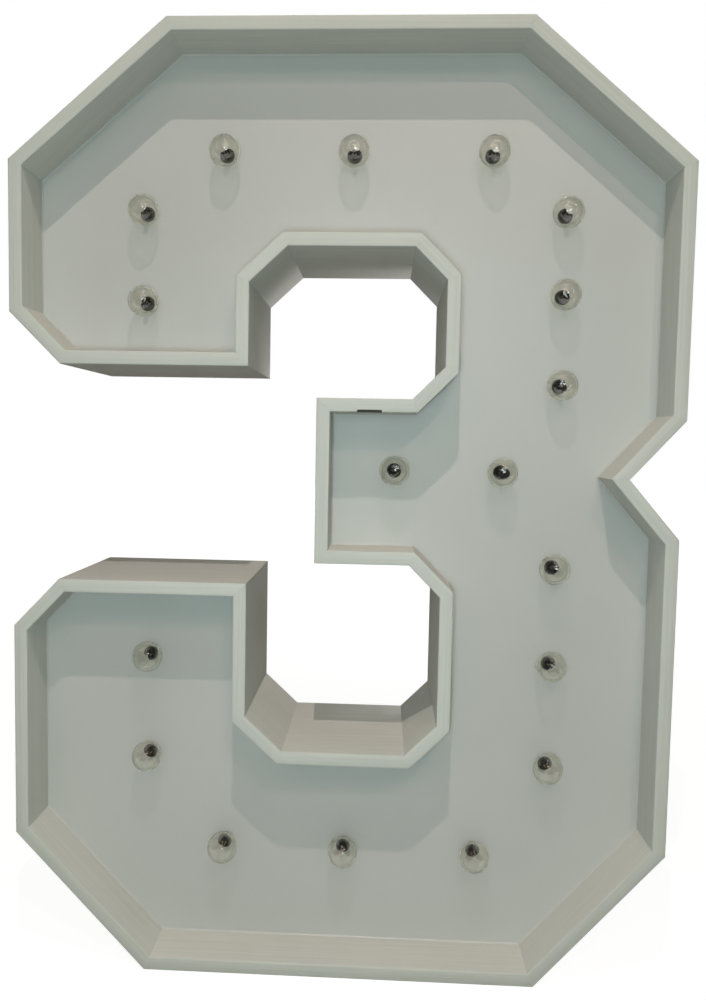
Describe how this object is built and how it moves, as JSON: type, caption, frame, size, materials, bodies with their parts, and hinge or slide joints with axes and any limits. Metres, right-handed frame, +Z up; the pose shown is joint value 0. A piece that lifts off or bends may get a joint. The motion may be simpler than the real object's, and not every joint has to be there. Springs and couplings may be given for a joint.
{
  "type": "light up marquee number",
  "caption": "Free-standing number three made of mitred painted boards round a set-back panel of clear globe lamps, with a rear cover, power inlet, switch and fuse drawer.",
  "frame": {"origin": "middle of the number's box on the ground, under the bottom board", "axes": "+Z up, +X to the right seen from the front, the lamps face -Y"},
  "size_m": [0.85, 0.2, 1.22],
  "materials": {
    "board_paint": "cream-grey eggshell paint over softwood boards, grain faintly showing",
    "panel_paint": "smooth satin paint on plywood",
    "cover_paint": "thin satin paint on plywood",
    "lamp_glass": "clear blown glass",
    "lamp_cap": "dull plated screw cap",
    "lamp_stem": "grey-green support of the light source",
    "lamp_filament": "unlit yellow coated light source",
    "black_moulding": "satin black moulding",
    "rocker_plastic": "smooth black plastic",
    "plate_steel": "brushed",
    "screw_steel": "zinc plated",
    "fuse_metal": "nickel plated end caps on clear glass"
  },
  "bodies": {
    "number": {"board_upper_left_corner": "board_paint", "board_top": "board_paint", "board_upper_right_corner": "board_paint", "board_upper_right_side": "board_paint", "board_waist_upper": "board_paint", "board_waist_lower": "board_paint", "board_lower_right_side": "board_paint", "board_lower_right_corner": "board_paint", "board_bottom": "board_paint", "board_lower_left_corner": "board_paint", "board_lower_left_side": "board_paint", "board_lower_arm_tip": "board_paint", "board_lower_arm_top": "board_paint", "board_lower_notch_side": "board_paint", "board_lower_notch_left_corner": "board_paint", "board_lower_notch_floor": "board_paint", "board_lower_notch_right_corner": "board_paint", "board_lower_notch_stem": "board_paint", "board_middle_arm_lower_corner": "board_paint", "board_middle_arm_underside": "board_paint", "board_middle_arm_end": "board_paint", "board_middle_arm_top": "board_paint", "board_middle_arm_upper_corner": "board_paint", "board_upper_notch_stem": "board_paint", "board_upper_notch_right_corner": "board_paint", "board_upper_notch_ceiling": "board_paint", "board_upper_notch_left_corner": "board_paint", "board_upper_notch_side": "board_paint", "board_upper_arm_underside": "board_paint", "board_upper_arm_tip": "board_paint", "board_upper_left_side": "board_paint", "lamp_panel": "panel_paint", "rear_cover": "cover_paint", "lamp_harness_upper": "black_moulding", "lamp_harness_lower": "black_moulding", "bulb_01": "lamp_glass", "bulb_02": "lamp_glass", "bulb_03": "lamp_glass", "bulb_04": "lamp_glass", "bulb_05": "lamp_glass", "bulb_06": "lamp_glass", "bulb_07": "lamp_glass", "bulb_08": "lamp_glass", "bulb_09": "lamp_glass", "bulb_10": "lamp_glass", "bulb_11": "lamp_glass", "bulb_12": "lamp_glass", "bulb_13": "lamp_glass", "bulb_14": "lamp_glass", "bulb_15": "lamp_glass", "bulb_16": "lamp_glass", "bulb_17": "lamp_glass", "bulb_18": "lamp_glass", "inlet_plate": "plate_steel", "inlet": "black_moulding", "terminal_cover": "black_moulding"},
    "rocker": {"switch_rocker": "rocker_plastic"},
    "drawer": {"fuse_drawer": "black_moulding", "fuse": "fuse_metal"}
  },
  "joints": [
    {"name": "switch_tilt", "type": "hinge", "parent": "number", "child": "rocker", "pos_m": [-0.073, 0.0886, 0.105], "axis": [0, 0, 1], "range_deg": [0, 24]},
    {"name": "fuse_drawer_slide", "type": "slide", "parent": "number", "child": "drawer", "axis": [0, 1, 0], "range_m": [0, 0.014]}
  ]
}
